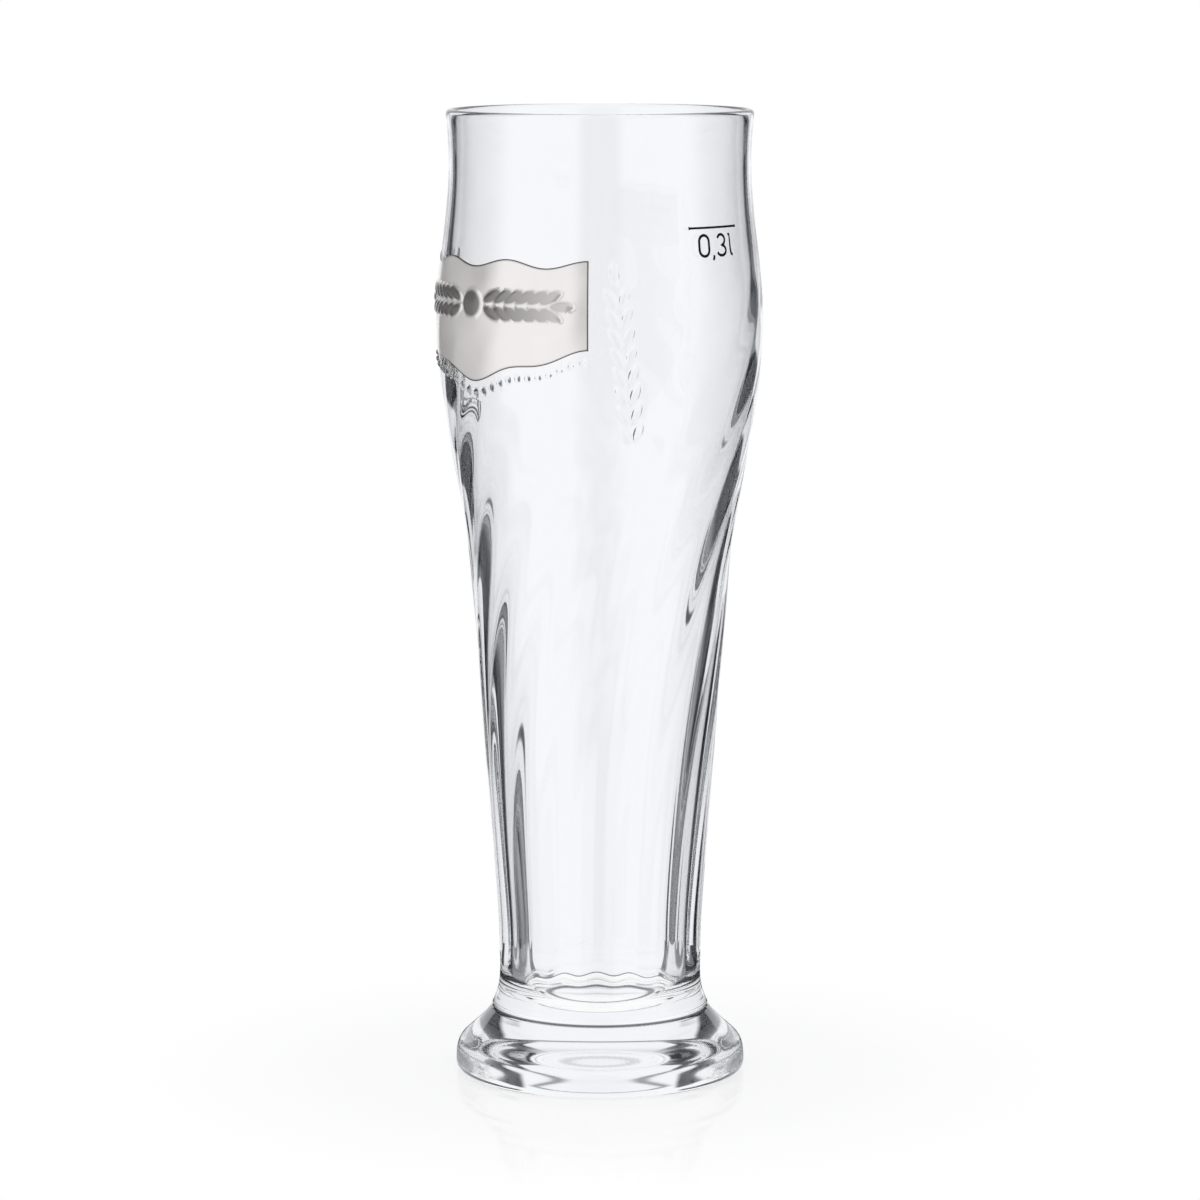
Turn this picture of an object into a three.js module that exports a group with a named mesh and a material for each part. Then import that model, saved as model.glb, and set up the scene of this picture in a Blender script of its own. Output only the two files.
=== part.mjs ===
// Wheat beer glass: a tall bowl with twisted ribs on a flared foot, with a silver label and a fill line.
// Millimetres, +Z up. The origin is the centre of the foot on the table, and the front faces -Y.
// Angles round the glass are measured from the front towards +X.

import * as THREE from 'three';
import { mergeVertices } from 'three/addons/utils/BufferGeometryUtils.js';

const { degToRad, lerp, smoothstep } = THREE.MathUtils;

// Lengths of the stretches of the outline, from the table up
const FOOT_HEIGHT = 13.7;
const COLLAR_LENGTH = 12.5;
const WAIST_LENGTH = 12;
const TAPER_LENGTH = 66;
const BELLY_LENGTH = 54;
const SHOULDER_LENGTH = 32.3;
const LIP_LENGTH = 11;

// Outside diameters where those stretches meet
const SEAM_DIAMETER = 46;
const WAIST_DIAMETER = 42.4;
const TAPER_DIAMETER = 43.4;
const KNEE_DIAMETER = 53.6;
const BELLY_DIAMETER = 67.6;
const NECK_DIAMETER = 62.3;
const RIM_DIAMETER = 63.5;

// Glass thickness
const WAIST_WALL = 4.2;
const KNEE_WALL = 3.0;
const BELLY_WALL = 2.2;
const NECK_WALL = 1.6;
const RIM_BEAD = 1.9;
const FLOOR_HEIGHT = 12.6;
const FLOOR_THICKNESS = 3.3;
const FLOOR_ROUNDING = 9;

// Collar, crease and foot
const COLLAR_FLARE = 0.6;
const CREASE_DEPTH = 0.6;
const SEAM_GAP = 0.3;
const PEG_DIAMETER = 32;
const FOOT_DIAMETER = 60.6;
const FOOT_EDGE_HEIGHT = 2.2;
const FOOT_SLOPE = 52;
const FOOT_SLOPE_REACH = 8.7;
const FOOT_EDGE_REACH = 6;
const REST_OUTER_DIAMETER = 57;
const REST_INNER_DIAMETER = 47;
const UNDERSIDE_RISE = 1.5;

// Twisted ribs
const RIB_COUNT = 18;
const RIB_WAIST_DEPTH = 0.25;
const RIB_KNEE_DEPTH = 0.42;
const RIB_BELLY_DEPTH = 0.12;
const RIB_START_ABOVE_SEAM = 7;
const RIB_START_LENGTH = 5;
const RIB_END_ABOVE_BELLY = 18;
const RIB_TWIST = 102;
const RIB_ANGLE = 8;

// Silver label
const LABEL_RIGHT_ANGLE = -4;
const LABEL_SPAN = 92;
const LABEL_TOP_ABOVE_BELLY = 13.4;
const LABEL_HEIGHT = 18;
const LABEL_WAVE = 0.8;
const LABEL_WAVES = 3;
const LABEL_SAG = 5.5;
const LABEL_THICKNESS = 0.4;

// Fill line
const FILL_LINE_BELOW_RIM = 23;
const FILL_LINE_LEFT_ANGLE = 33.7;
const FILL_LINE_LENGTH = 13.9;
const FILL_LINE_WIDTH = 0.45;
const FILL_LINE_THICKNESS = 0.2;

// Space between the bowl and what is fired or printed on it
const DECOR_GAP = 0.2;

// Facets
const FACETS_PER_RIB = 6;
const FOOT_FACETS = 72;
const RIM_STEPS = 6;
const FLOOR_STEPS = 4;
const UNDERSIDE_STEPS = 5;
const FOOT_EDGE_STEPS = 3;
const FLANK_STEPS = 7;
const LABEL_COLUMNS = 44;
const LABEL_ROWS = 5;
const FILL_LINE_COLUMNS = 8;

const SEAM_Z = FOOT_HEIGHT;
const WAIST_Z = SEAM_Z + COLLAR_LENGTH;
const TAPER_Z = WAIST_Z + WAIST_LENGTH;
const KNEE_Z = TAPER_Z + TAPER_LENGTH;
const BELLY_Z = KNEE_Z + BELLY_LENGTH;
const NECK_Z = BELLY_Z + SHOULDER_LENGTH;
const TOP_Z = NECK_Z + LIP_LENGTH;
const BEAD_RADIUS = RIM_BEAD / 2;
const RIM_Z = TOP_Z - BEAD_RADIUS;
const BOWL_BASE_Z = SEAM_Z + SEAM_GAP / 2;
const FOOT_TOP_Z = SEAM_Z - SEAM_GAP / 2;
const FLOOR_Z = FLOOR_HEIGHT;
const PEG_BASE_Z = FLOOR_Z - FLOOR_THICKNESS;
const RIB_START_Z = SEAM_Z + RIB_START_ABOVE_SEAM;
const RIB_END_Z = BELLY_Z + RIB_END_ABOVE_BELLY;

const TAPER_RATE = (KNEE_DIAMETER - TAPER_DIAMETER) / 2 / TAPER_LENGTH;
const LIP_RATE = (RIM_DIAMETER - NECK_DIAMETER) / (RIM_Z - NECK_Z);

// Where the stretches of the wall meet: height, outside radius, outward lean of the outline, thickness
// and the number of steps up to the next one
const STATIONS = [
  { z: SEAM_Z, radius: SEAM_DIAMETER / 2, lean: -COLLAR_FLARE, wall: WAIST_WALL, steps: 4 },
  { z: WAIST_Z, radius: WAIST_DIAMETER / 2, lean: 0, wall: WAIST_WALL, steps: 2 },
  { z: TAPER_Z, radius: TAPER_DIAMETER / 2, lean: TAPER_RATE, wall: WAIST_WALL, steps: 7 },
  { z: KNEE_Z, radius: KNEE_DIAMETER / 2, lean: TAPER_RATE, wall: KNEE_WALL, steps: 8 },
  { z: BELLY_Z, radius: BELLY_DIAMETER / 2, lean: 0, wall: BELLY_WALL, steps: 4 },
  { z: NECK_Z, radius: NECK_DIAMETER / 2, lean: 0, wall: NECK_WALL, steps: 2 },
  { z: RIM_Z, radius: RIM_DIAMETER / 2, lean: LIP_RATE, wall: RIM_BEAD, steps: 0 },
];

// Depth of the grooves between the ribs, deepest at the knee
const GROOVES = [
  { z: RIB_START_Z, depth: 0 },
  { z: RIB_START_Z + RIB_START_LENGTH, depth: RIB_WAIST_DEPTH },
  { z: KNEE_Z, depth: RIB_KNEE_DEPTH },
  { z: BELLY_Z, depth: RIB_BELLY_DEPTH },
  { z: RIB_END_Z, depth: 0 },
];

function stretchAt(z) {
  const last = STATIONS.length - 2;
  const found = STATIONS.findIndex((station, i) => i >= last || z < STATIONS[i + 1].z);
  return [STATIONS[found], STATIONS[found + 1]];
}

// Outside radius of the plain wall, a cubic between two stations that keeps the lean at both.
function outsideRadius(z) {
  const [low, high] = stretchAt(z);
  const span = high.z - low.z;
  const t = (z - low.z) / span;
  const blend = t * t * (3 - 2 * t);
  const bend = t * (1 - t) * span * ((1 - t) * low.lean - t * high.lean);
  return lerp(low.radius, high.radius, blend) + bend;
}

function insideRadius(z) {
  const [low, high] = stretchAt(z);
  return outsideRadius(z) - lerp(low.wall, high.wall, smoothstep(z, low.z, high.z));
}

function grooveDepth(z) {
  const next = GROOVES.findIndex((groove) => z < groove.z);
  if (next < 1) return 0;
  const [low, high] = [GROOVES[next - 1], GROOVES[next]];
  return lerp(low.depth, high.depth, (z - low.z) / (high.z - low.z));
}

// The ribs stand upright up to the taper and lean more and more to the right on their way up.
function ribTurn(z) {
  const share = Math.max(z - TAPER_Z, 0) / (RIB_END_Z - TAPER_Z);
  return degToRad(RIB_ANGLE + RIB_TWIST * share * share);
}

function ribbedRadius(angle, z) {
  const groove = (1 - Math.cos(RIB_COUNT * (angle - ribTurn(z)))) / 2;
  return outsideRadius(z) - grooveDepth(z) * groove;
}

function onGlass(angle, radius, z) {
  return [radius * Math.sin(angle), -radius * Math.cos(angle), z];
}

// Turns a closed profile of (radius, height) points about the vertical axis.
function turned(profile, facets) {
  const lathe = new THREE.LatheGeometry(profile, facets);
  lathe.deleteAttribute('normal');
  lathe.deleteAttribute('uv');
  lathe.rotateX(Math.PI / 2);
  return mergeVertices(lathe, 1e-4);
}

function point(radius, z) {
  return new THREE.Vector2(radius, z);
}

function arc(centreRadius, centreZ, radius, fromAngle, toAngle, steps) {
  const curve = new THREE.EllipseCurve(
    centreRadius, centreZ, radius, radius, degToRad(fromAngle), degToRad(toAngle), fromAngle > toAngle,
  );
  return curve.getPoints(steps);
}

function wallHeights(stepsFor) {
  const heights = [];
  STATIONS.slice(0, -1).forEach((station, i) => {
    const steps = stepsFor(station);
    for (let k = 0; k < steps; k += 1) heights.push(lerp(station.z, STATIONS[i + 1].z, k / steps));
  });
  return heights;
}

// The bowl ends in a peg that sits in the foot; its inside bottom is round.
function bowlProfile() {
  const pegRadius = PEG_DIAMETER / 2;
  const creaseRadius = outsideRadius(SEAM_Z) - CREASE_DEPTH;
  const collarZ = BOWL_BASE_Z + CREASE_DEPTH;
  const outside = wallHeights((station) => station.steps).filter((z) => z > collarZ);
  const cornerZ = FLOOR_Z + FLOOR_ROUNDING;
  const cornerRadius = insideRadius(cornerZ);
  const inside = wallHeights((station) => Math.ceil(station.steps / 3)).filter((z) => z > cornerZ);
  const beadRadius = RIM_DIAMETER / 2 - BEAD_RADIUS;
  const floor = new THREE.CubicBezierCurve(
    point(cornerRadius, cornerZ), point(cornerRadius, FLOOR_Z),
    point(cornerRadius / 2, FLOOR_Z), point(0, FLOOR_Z),
  );
  return [
    point(0, PEG_BASE_Z),
    point(pegRadius, PEG_BASE_Z),
    point(pegRadius, BOWL_BASE_Z),
    point(creaseRadius, BOWL_BASE_Z),
    point(outsideRadius(collarZ), collarZ),
    ...outside.map((z) => point(outsideRadius(z), z)),
    ...arc(beadRadius, RIM_Z, BEAD_RADIUS, 0, 180, RIM_STEPS),
    ...inside.reverse().map((z) => point(insideRadius(z), z)),
    ...floor.getPoints(FLOOR_STEPS),
  ];
}

// Sinks the grooves between the ribs into the outside of the turned wall.
function cutGrooves(geometry) {
  const position = geometry.getAttribute('position');
  for (let i = 0; i < position.count; i += 1) {
    const [x, y, z] = [position.getX(i), position.getY(i), position.getZ(i)];
    const radius = Math.hypot(x, y);
    const outside = z > RIB_START_Z && z < RIB_END_Z && radius > insideRadius(z) + RIB_KNEE_DEPTH;
    if (outside) position.setXYZ(i, ...onGlass(Math.atan2(x, -y), ribbedRadius(Math.atan2(x, -y), z), z));
  }
  return geometry;
}

function bowlGeometry() {
  return cutGrooves(turned(bowlProfile(), RIB_COUNT * FACETS_PER_RIB));
}

// A solid foot: hollowed underside, flat ring that it stands on, round edge, a flank up to the crease
// and a recess for the bowl's peg.
function footGeometry() {
  const recessRadius = PEG_DIAMETER / 2 + SEAM_GAP;
  const recessZ = PEG_BASE_Z - SEAM_GAP;
  const restInner = REST_INNER_DIAMETER / 2;
  const restOuter = REST_OUTER_DIAMETER / 2;
  const edge = point(FOOT_DIAMETER / 2, FOOT_EDGE_HEIGHT);
  const shoulderZ = FOOT_TOP_Z - CREASE_DEPTH;
  const shoulder = point(SEAM_DIAMETER / 2, shoulderZ);
  const slope = degToRad(FOOT_SLOPE);
  const underside = new THREE.QuadraticBezierCurve(
    point(0, UNDERSIDE_RISE), point(restInner / 2, UNDERSIDE_RISE), point(restInner, 0),
  );
  const lowerEdge = new THREE.QuadraticBezierCurve(
    point(restOuter, 0), point(edge.x, 0), edge,
  );
  const flank = new THREE.CubicBezierCurve(
    edge,
    point(edge.x, edge.y + FOOT_EDGE_REACH),
    point(shoulder.x + FOOT_SLOPE_REACH * Math.cos(slope), shoulder.y - FOOT_SLOPE_REACH * Math.sin(slope)),
    shoulder,
  );
  const profile = [
    ...underside.getPoints(UNDERSIDE_STEPS),
    ...lowerEdge.getPoints(FOOT_EDGE_STEPS),
    ...flank.getPoints(FLANK_STEPS).slice(1),
    point(shoulder.x - CREASE_DEPTH, FOOT_TOP_Z),
    point(recessRadius, FOOT_TOP_Z),
    point(recessRadius, recessZ),
    point(0, recessZ),
  ];
  return turned(profile, FOOT_FACETS);
}

// A thin closed layer that follows the bowl between two angles and between a lower and an upper edge.
function layerOnBowl({ from, to, lower, upper, thickness, columns, rows }) {
  const vertices = [];
  const faces = [];
  const index = (side, i, j) => (side * (columns + 1) + i) * (rows + 1) + j;
  const quad = (a, b, c, d) => faces.push(a, b, c, a, c, d);
  for (const lift of [DECOR_GAP, DECOR_GAP + thickness]) {
    for (let i = 0; i <= columns; i += 1) {
      const share = i / columns;
      const angle = lerp(from, to, share);
      for (let j = 0; j <= rows; j += 1) {
        const z = lerp(lower(share), upper(share), j / rows);
        vertices.push(...onGlass(angle, ribbedRadius(angle, z) + lift, z));
      }
    }
  }
  for (let i = 0; i < columns; i += 1) {
    for (let j = 0; j < rows; j += 1) {
      quad(index(1, i, j), index(1, i + 1, j), index(1, i + 1, j + 1), index(1, i, j + 1));
      quad(index(0, i, j), index(0, i, j + 1), index(0, i + 1, j + 1), index(0, i + 1, j));
    }
    quad(index(0, i, 0), index(0, i + 1, 0), index(1, i + 1, 0), index(1, i, 0));
    quad(index(1, i, rows), index(1, i + 1, rows), index(0, i + 1, rows), index(0, i, rows));
  }
  for (let j = 0; j < rows; j += 1) {
    quad(index(0, 0, j), index(1, 0, j), index(1, 0, j + 1), index(0, 0, j + 1));
    quad(index(1, columns, j), index(0, columns, j), index(0, columns, j + 1), index(1, columns, j + 1));
  }
  const geometry = new THREE.BufferGeometry();
  geometry.setAttribute('position', new THREE.Float32BufferAttribute(vertices, 3));
  geometry.setIndex(faces);
  return geometry;
}

function labelGeometry() {
  const topZ = BELLY_Z + LABEL_TOP_ABOVE_BELLY;
  const wave = (share) => LABEL_WAVE * Math.cos(2 * Math.PI * LABEL_WAVES * share);
  const sag = (share) => LABEL_SAG * Math.sin(Math.PI * share) ** 2;
  return layerOnBowl({
    from: degToRad(LABEL_RIGHT_ANGLE - LABEL_SPAN),
    to: degToRad(LABEL_RIGHT_ANGLE),
    lower: (share) => topZ - LABEL_HEIGHT - sag(share) + wave(share),
    upper: (share) => topZ + wave(share),
    thickness: LABEL_THICKNESS,
    columns: LABEL_COLUMNS,
    rows: LABEL_ROWS,
  });
}

function fillLineGeometry() {
  const middleZ = TOP_Z - FILL_LINE_BELOW_RIM;
  const from = degToRad(FILL_LINE_LEFT_ANGLE);
  return layerOnBowl({
    from,
    to: from + FILL_LINE_LENGTH / outsideRadius(middleZ),
    lower: () => middleZ - FILL_LINE_WIDTH / 2,
    upper: () => middleZ + FILL_LINE_WIDTH / 2,
    thickness: FILL_LINE_THICKNESS,
    columns: FILL_LINE_COLUMNS,
    rows: 1,
  });
}

const clearGlass = new THREE.MeshStandardMaterial({
  color: 0xe4ebee, roughness: 0.03, metalness: 0, transparent: true, opacity: 0.35,
});
const firedSilver = new THREE.MeshStandardMaterial({ color: 0xd9d5d0, roughness: 0.18, metalness: 1 });
const blackPrint = new THREE.MeshStandardMaterial({ color: 0x141414, roughness: 0.5, metalness: 0 });

function piece(name, geometry, material) {
  geometry.computeVertexNormals();
  const mesh = new THREE.Mesh(geometry, material);
  mesh.name = name;
  return mesh;
}

const glass = new THREE.Group();
glass.add(
  piece('bowl', bowlGeometry(), clearGlass),
  piece('foot', footGeometry(), clearGlass),
  piece('silver_label', labelGeometry(), firedSilver),
  piece('fill_line', fillLineGeometry(), blackPrint),
);

export default glass;
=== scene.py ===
"""A tall wheat beer glass in a white studio.

A ribbed bowl stands on a flared foot, with a silver label and a printed fill mark.
"""

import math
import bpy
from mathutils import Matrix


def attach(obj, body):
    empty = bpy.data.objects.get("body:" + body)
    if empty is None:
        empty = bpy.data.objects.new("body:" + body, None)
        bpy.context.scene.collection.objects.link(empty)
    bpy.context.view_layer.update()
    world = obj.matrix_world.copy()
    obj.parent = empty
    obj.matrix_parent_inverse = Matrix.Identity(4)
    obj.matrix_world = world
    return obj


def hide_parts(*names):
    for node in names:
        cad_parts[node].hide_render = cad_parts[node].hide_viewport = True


bl_info = {
    "name": "Wheat Beer Glass",
    "version": (1, 0, 0),
    "blender": (4, 5, 0),
    "location": "View3D > Sidebar > Glass",
    "description": "Builds a wheat beer glass with twisted ribs, a silver label, a fill mark and a studio",
    "category": "Object",
}

from collections import namedtuple

import bmesh
import bpy
import numpy as np
from bpy.props import FloatProperty, FloatVectorProperty, IntProperty, PointerProperty

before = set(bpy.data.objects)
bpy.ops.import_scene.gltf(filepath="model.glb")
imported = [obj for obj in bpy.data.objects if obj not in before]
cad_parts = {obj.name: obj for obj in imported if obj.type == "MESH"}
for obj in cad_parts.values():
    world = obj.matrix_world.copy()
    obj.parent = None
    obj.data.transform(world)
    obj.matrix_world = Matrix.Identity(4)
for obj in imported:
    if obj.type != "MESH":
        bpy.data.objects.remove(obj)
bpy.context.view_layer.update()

MM = 0.001
TINY = 0.001 * MM
BODY = "root"
FULL_TURN = 2 * math.pi
WHITE = (1.0, 1.0, 1.0, 1.0)


def length(name, description, millimetres):
    """A length in metres that a user may change, with its default written in millimetres."""
    return FloatProperty(
        name=name, description=description, default=millimetres * MM, min=0.0, unit="LENGTH", precision=5
    )


def turn(name, description, degrees):
    """An angle that a user may change, with its default written in degrees."""
    return FloatProperty(
        name=name, description=description, default=math.radians(degrees), unit="ROTATION", subtype="ANGLE"
    )


def tint(name, description, colour):
    """A colour that a user may change, in linear values."""
    return FloatVectorProperty(
        name=name, description=description, default=colour, size=3, min=0.0, max=1.0, subtype="COLOR"
    )


class VesselSizes(bpy.types.PropertyGroup):
    """Sizes of the bowl and the foot."""

    foot_height: length("Foot height", "From the table to the crease", 13.7)
    collar_length: length("Collar", "From the crease to the waist", 12.5)
    waist_length: length("Waist", "From the narrowest place to the straight taper", 12)
    taper_length: length("Taper", "The straight taper of the ribbed wall", 66)
    belly_length: length("Belly", "From the end of the taper to the widest place", 54)
    shoulder_length: length("Shoulder", "From the widest place to the neck", 32.3)
    lip_length: length("Lip", "From the neck to the top of the rim", 11)
    seam_diameter: length("Seam diameter", "Across the glass at the crease", 46)
    waist_diameter: length("Waist diameter", "Across the narrowest place", 42.4)
    taper_diameter: length("Taper diameter", "Across the lower end of the taper", 43.4)
    knee_diameter: length("Knee diameter", "Across the upper end of the taper", 53.6)
    belly_diameter: length("Belly diameter", "Across the widest place", 67.6)
    neck_diameter: length("Neck diameter", "Across the neck under the rim", 62.3)
    rim_diameter: length("Rim diameter", "Across the rim", 63.5)
    waist_wall: length("Waist wall", "Glass thickness at the waist", 4.2)
    knee_wall: length("Knee wall", "Glass thickness at the top of the taper", 3.0)
    belly_wall: length("Belly wall", "Glass thickness at the belly", 2.2)
    neck_wall: length("Neck wall", "Glass thickness at the neck", 1.6)
    rim_bead: length("Rim bead", "Thickness of the fire-polished rim", 1.9)
    floor_height: length("Floor", "Height of the inside bottom above the table", 12.6)
    floor_rounding: length("Floor rounding", "Height over which the wall rounds into the floor", 9)
    collar_flare: FloatProperty(
        name="Collar flare", description="How fast the collar widens at the crease", default=0.6, min=0.0
    )
    crease_depth: length("Crease depth", "How far the crease is drawn in", 0.6)
    foot_diameter: length("Foot diameter", "Across the foot", 60.6)
    foot_edge_height: length("Foot edge", "Height of the widest place of the foot", 2.2)
    foot_slope: turn("Foot slope", "Slope of the flank below the crease", 52)
    foot_slope_reach: length("Slope reach", "How far the flank keeps that slope", 8.7)
    foot_edge_reach: length("Edge reach", "How far the edge stays upright", 6)
    rest_outer_diameter: length("Rest ring outside", "Outside of the ring that the glass stands on", 57)
    rest_inner_diameter: length("Rest ring inside", "Inside of the ring that the glass stands on", 47)
    rest_bar_depth: length("Rest ring bars", "Depth between the fine bars under the foot", 0.25)
    underside_rise: length("Underside rise", "How far the underside is hollowed", 1.5)
    rib_count: IntProperty(name="Ribs", description="Ribs round the glass", default=18, min=3)
    rib_waist_depth: length("Rib depth at the waist", "Depth of the grooves at the waist", 0.25)
    rib_knee_depth: length("Rib depth at the knee", "Depth of the grooves at the knee", 0.40)
    rib_belly_depth: length("Rib depth at the belly", "Depth of the grooves at the belly", 0.08)
    rib_start_above_seam: length("Rib start", "Where the ribs start above the crease", 7)
    rib_start_length: length("Rib foot", "Over which length the ribs rise at their lower end", 5)
    rib_end_above_belly: length("Rib end", "Where the ribs end above the widest place", 18)
    rib_twist: turn("Rib twist", "Turn of the ribs from the taper to their end", 102)
    rib_angle: turn("Rib angle", "Where the first rib stands at the waist, from the front", 7.9)


class LabelSizes(bpy.types.PropertyGroup):
    """Sizes of the silver label and of the relief beside it."""

    right_angle: turn("Right end", "Where the label ends on the right, from the front", -4)
    span: turn("Span", "How far the label goes round the glass", 92)
    top_above_belly: length("Top", "Upper edge above the widest place", 13.4)
    height: length("Height", "Height of the label at its ends", 18)
    wave: length("Wave", "Height of the waves of its edges", 0.8)
    waves: IntProperty(name="Waves", description="Waves along its edges", default=3, min=0)
    sag: length("Sag", "How far the lower edge hangs down in the middle", 5.5)
    thickness: length("Thickness", "Thickness of the silver", 0.3)
    lift: length("Lift", "How far the silver stands out of the glass", 0.15)
    # Painted shade: the dark line along the label's edges stands in for the shade at the edge of the raised
    # silver.
    outline_width: length("Outline width", "Width of the dark line along the edges", 0.45)
    grain_height: length("Grain height", "Height of the raised grains", 0.55)
    glass_grain_height: length("Glass relief", "Height of the relief in the glass", 0.5)


class MarkSizes(bpy.types.PropertyGroup):
    """Sizes of the printed fill mark."""

    line_below_rim: length("Line below rim", "How far the fill line is below the rim", 23)
    left_angle: turn("Left end", "Where the fill line starts on the left, from the front", 33.7)
    line_length: length("Line length", "Length of the fill line", 13.9)
    line_width: length("Line width", "Width of the fill line", 0.45)
    figure_gap: length("Figure gap", "From the line to the top of the figures", 1.2)
    figure_height: length("Figure height", "Height of the figures", 4.8)
    stroke: length("Stroke", "Width of the strokes of the figures", 0.58)
    print_thickness: length("Print thickness", "Thickness of the print", 0.05)


class StudioSettings(bpy.types.PropertyGroup):
    """Camera, floor and light."""

    camera_distance: length("Camera distance", "From the axis of the glass to the lens", 997.2)
    camera_height: length("Camera height", "Height of the lens above the table", 238.06)
    camera_tilt: turn("Camera tilt", "How far the camera looks down", 7.912)
    camera_lens: FloatProperty(
        name="Focal length", description="Focal length on a 36 mm sensor", default=144.79, unit="CAMERA"
    )
    floor_radius: length("Floor radius", "Radius of the white table", 125)
    panel_bright: turn("Bright panel", "Half width of the white wall behind the glass", 24)
    panel_soft: turn("Panel edge", "Half width of the soft edge of a panel", 1.5)
    wall_colour: tint("Wall colour", "Colour of the white panels round the glass", (0.93, 0.94, 0.965))
    ceiling_colour: tint("Ceiling colour", "Colour high above the glass", (0.66, 0.67, 0.69))
    gap_colour: tint("Gap colour", "Colour between the white panels", (0.02, 0.023, 0.028))
    glass_colour: tint("Glass colour", "Colour that thick glass takes on", (0.93, 0.955, 0.97))
    silver_colour: tint("Silver colour", "Colour of the fired silver", (0.95, 0.92, 0.895))
    print_colour: tint("Print colour", "Colour of the fill mark", (0.004, 0.004, 0.005))


class Section:
    """The section of the glass, worked out from its sizes."""

    def __init__(self, sizes):
        self.sizes = sizes
        self.seam_z = sizes.foot_height
        self.waist_z = self.seam_z + sizes.collar_length
        self.taper_z = self.waist_z + sizes.waist_length
        self.knee_z = self.taper_z + sizes.taper_length
        self.belly_z = self.knee_z + sizes.belly_length
        self.neck_z = self.belly_z + sizes.shoulder_length
        self.top_z = self.neck_z + sizes.lip_length
        self.rim_z = self.top_z - sizes.rim_bead / 2
        self.floor_z = sizes.floor_height
        self.rib_start_z = self.seam_z + sizes.rib_start_above_seam
        self.rib_end_z = self.belly_z + sizes.rib_end_above_belly
        taper_rate = (sizes.knee_diameter - sizes.taper_diameter) / 2 / sizes.taper_length
        lip_rate = (sizes.rim_diameter - sizes.neck_diameter) / (self.rim_z - self.neck_z)
        self.heights = np.array([
            self.seam_z, self.waist_z, self.taper_z, self.knee_z, self.belly_z, self.neck_z, self.rim_z
        ])
        self.radii = 0.5 * np.array([
            sizes.seam_diameter, sizes.waist_diameter, sizes.taper_diameter, sizes.knee_diameter,
            sizes.belly_diameter, sizes.neck_diameter, sizes.rim_diameter
        ])
        self.leans = np.array([-sizes.collar_flare, 0.0, taper_rate, taper_rate, 0.0, 0.0, lip_rate])
        self.walls = np.array([
            sizes.waist_wall, sizes.waist_wall, sizes.waist_wall, sizes.knee_wall,
            sizes.belly_wall, sizes.neck_wall, sizes.rim_bead
        ])

    def stretch(self, z):
        """The stretch of the wall that each height lies in, and the share of it below that height."""
        low = np.clip(np.searchsorted(self.heights, z, side="right") - 1, 0, len(self.heights) - 2)
        span = self.heights[low + 1] - self.heights[low]
        return low, span, (z - self.heights[low]) / span

    def outside(self, z):
        """Outside radius of the plain wall."""
        low, span, t = self.stretch(z)
        bend = t * (1 - t) * span * ((1 - t) * self.leans[low] - t * self.leans[low + 1])
        return self.radii[low] + (self.radii[low + 1] - self.radii[low]) * t * t * (3 - 2 * t) + bend

    def inside(self, z):
        """Inside radius of the wall."""
        low, _span, t = self.stretch(z)
        t = np.clip(t, 0.0, 1.0)
        wall = self.walls[low] + (self.walls[low + 1] - self.walls[low]) * t * t * (3 - 2 * t)
        return self.outside(z) - wall

    def ribbed(self, angle, z):
        """Outside radius with the grooves between the twisted ribs."""
        sizes = self.sizes
        full_z = self.rib_start_z + sizes.rib_start_length
        depth = np.interp(
            z,
            (self.rib_start_z, full_z, self.knee_z, self.belly_z, self.rib_end_z),
            (0.0, sizes.rib_waist_depth, sizes.rib_knee_depth, sizes.rib_belly_depth, 0.0),
        )
        share = np.maximum(z - self.taper_z, 0.0) / (self.rib_end_z - self.taper_z)
        phase = sizes.rib_count * (angle - sizes.rib_angle - sizes.rib_twist * share * share)
        return self.outside(z) - depth * (1 - np.cos(phase)) / 2


def spread(low, high, step):
    """Even heights from low up to high, about a step apart, without high itself."""
    return np.linspace(low, high, max(2, round((high - low) / step)), endpoint=False)


def arc_points(centre, width, height, start, end, steps):
    """Points on an elliptic arc, angles in degrees from the first axis to the second."""
    angles = np.radians(np.linspace(start, end, steps + 1))
    return [(centre[0] + width * math.cos(a), centre[1] + height * math.sin(a)) for a in angles]


def bezier_points(points, steps):
    """Points on a Bezier curve of any degree in the section."""
    shares = np.linspace(0, 1, steps + 1)[:, None]
    level = [np.array(point)[None, :] for point in points]
    while len(level) > 1:
        level = [a * (1 - shares) + b * shares for a, b in zip(level, level[1:])]
    return [tuple(point) for point in level[0]]


# Distances between the rows of the turned mesh, its columns and the steps of its curves.
OUTSIDE_STEP = 1.5 * MM
INSIDE_STEP = 3.0 * MM
COLUMNS_PER_RIB = 16
UNDERSIDE_STEPS = 14
RING_STEPS = 5
EDGE_STEPS = 10
FLANK_STEPS = 24
RIM_STEPS = 14
FLOOR_STEPS = 20


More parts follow.
